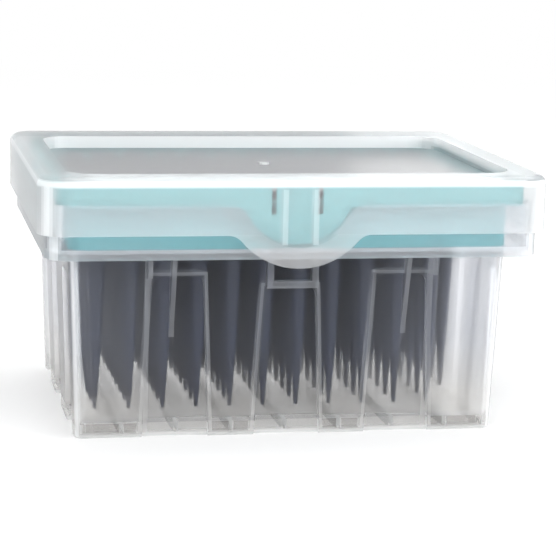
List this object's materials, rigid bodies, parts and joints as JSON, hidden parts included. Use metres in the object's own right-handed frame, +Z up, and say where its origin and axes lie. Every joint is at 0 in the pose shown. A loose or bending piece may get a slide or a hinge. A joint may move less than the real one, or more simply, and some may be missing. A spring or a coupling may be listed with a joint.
{
  "type": "pipette tip box",
  "caption": "Frosted box with a hinged lid holding a rack of black pipette tips in a rectangular grid, for loading onto a pipette.",
  "frame": {"origin": "centre of the closed box's footprint on the surface it stands on, which is also the centre of the tip grid", "axes": "+Z up, front with the wave-shaped tab towards -Y, hinge towards +Y, +X right as seen from the front"},
  "size_m": [0.1326, 0.108, 0.0698],
  "materials": {
    "frosted_pp": "satin",
    "teal_pp": "satin",
    "black_pp": "gloss"
  },
  "bodies": {
    "box": {"base": "frosted_pp", "rack": "teal_pp", "tips_column_01": "black_pp", "tips_column_02": "black_pp", "tips_column_03": "black_pp", "tips_column_04": "black_pp", "tips_column_05": "black_pp", "tips_column_06": "black_pp", "tips_column_07": "black_pp", "tips_column_08": "black_pp", "tips_column_09": "black_pp", "tips_column_10": "black_pp", "tips_column_11": "black_pp", "tips_column_12": "black_pp"},
    "lid": {"lid": "frosted_pp"}
  },
  "joints": [
    {"name": "lid_hinge", "type": "hinge", "parent": "box", "child": "lid", "pos_m": [0, 0.0515, 0.054], "axis": [-1, 0, 0], "range_deg": [0, 105]}
  ]
}
